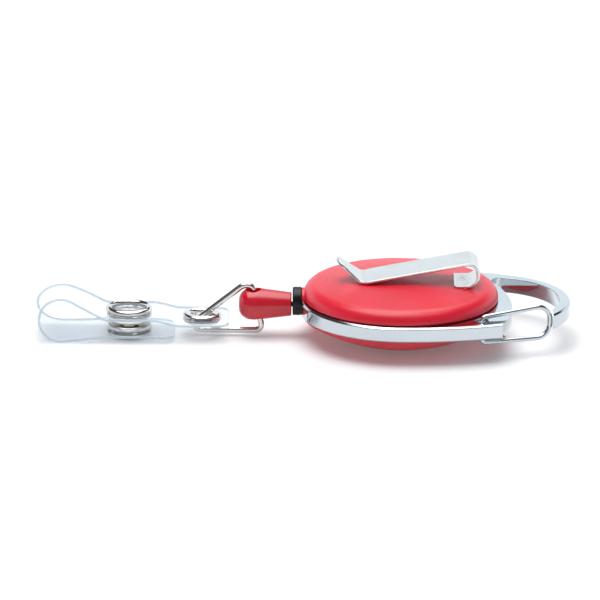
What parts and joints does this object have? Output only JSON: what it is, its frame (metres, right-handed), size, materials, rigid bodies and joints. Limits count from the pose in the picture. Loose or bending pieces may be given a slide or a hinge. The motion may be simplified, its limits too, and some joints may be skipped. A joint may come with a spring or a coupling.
{
  "type": "retractable badge reel",
  "caption": "Round retractable badge reel in a carabiner frame with a wire gate, a belt clip, a cord end with a wire link, and a clear strap with a snap.",
  "frame": {"origin": "on the reel's axis, at the flat of the front cover that the reel lies on", "axes": "+X along the object towards the carabiner hook, the strap towards -X; +Z along the spool axis, out of the back cover with the belt clip; the gate is on the -Y side"},
  "size_m": [0.1068, 0.0408, 0.0168],
  "materials": {
    "red_plastic": "satin gloss moulded plastic",
    "chrome": "polished chrome plate",
    "nickel": "bright nickel plate",
    "black_plastic": "satin black",
    "clear_vinyl": "clear flexible vinyl with bluish edges",
    "spool_plastic": "moulded natural plastic",
    "spring_steel": "blued spring steel",
    "nylon_cord": "braided nylon"
  },
  "bodies": {
    "case": {"front_cover": "red_plastic", "back_cover": "red_plastic", "carabiner_frame": "chrome", "exit_collar": "black_plastic", "belt_clip_foot": "nickel", "clip_rivet": "nickel", "power_spring": "spring_steel", "cord_run": "nylon_cord"},
    "gate": {"gate_wire": "chrome"},
    "clip_arm": {"belt_clip_arm": "nickel"},
    "reel_spool": {"spool": "spool_plastic", "spring_cover": "spool_plastic", "cord_winding": "nylon_cord"},
    "cord": {"cord_lead": "nylon_cord", "cord_knot": "nylon_cord"},
    "bulb": {"cord_end": "red_plastic"},
    "link": {"wire_link": "nickel"},
    "strap": {"strap_upper": "clear_vinyl", "eyelet_barrel": "nickel", "eyelet_washer": "nickel", "snap_cap_ring": "nickel", "snap_socket": "nickel"},
    "strap_leg": {"strap_lower": "clear_vinyl", "snap_stud": "nickel", "snap_post_ring": "nickel"}
  },
  "joints": [
    {"name": "cord_pull", "type": "slide", "parent": "case", "child": "cord", "axis": [-1, 0, 0], "range_m": [0, 0.6], "stiffness_N_per_m": 1, "springref_m": -0.9},
    {"name": "spool_spin", "type": "hinge", "parent": "case", "child": "reel_spool", "pos_m": [0, 0, 0.0055], "axis": [0, 0, 1], "range_deg": [-2820, 0], "deforming": ["power_spring"]},
    {"name": "bulb_swivel", "type": "hinge", "parent": "cord", "child": "bulb", "pos_m": [-0.026, 0, 0.00665], "axis": [1, 0, 0], "continuous": true},
    {"name": "link_swing", "type": "hinge", "parent": "bulb", "child": "link", "pos_m": [-0.0289, 0, 0.00665], "axis": [-0.225, 0, 0.9744], "range_deg": [-90, 90]},
    {"name": "strap_tip", "type": "hinge", "parent": "link", "child": "strap", "pos_m": [-0.0403, 0, 0.0037], "axis": [0, 1, 0], "range_deg": [-3, 6]},
    {"name": "strap_open", "type": "hinge", "parent": "strap", "child": "strap_leg", "pos_m": [-0.07269, 0, 0.00465], "axis": [0, 1, 0], "range_deg": [0, 120]},
    {"name": "gate_swing", "type": "hinge", "parent": "case", "child": "gate", "pos_m": [0.016, -0.0149, 0.00665], "axis": [0, 0, 1], "range_deg": [0, 35], "stiffness_Nm_per_rad": 0.02, "springref_deg": -20.05},
    {"name": "clip_flex", "type": "hinge", "parent": "case", "child": "clip_arm", "pos_m": [0.0132, 0, 0.01679], "axis": [0, 1, 0], "range_deg": [0, 10], "stiffness_Nm_per_rad": 0.6, "springref_deg": -5.73}
  ],
  "couplings": [
    {"joint": "spool_spin", "follows": "cord_pull", "rad_per_m": -82}
  ]
}
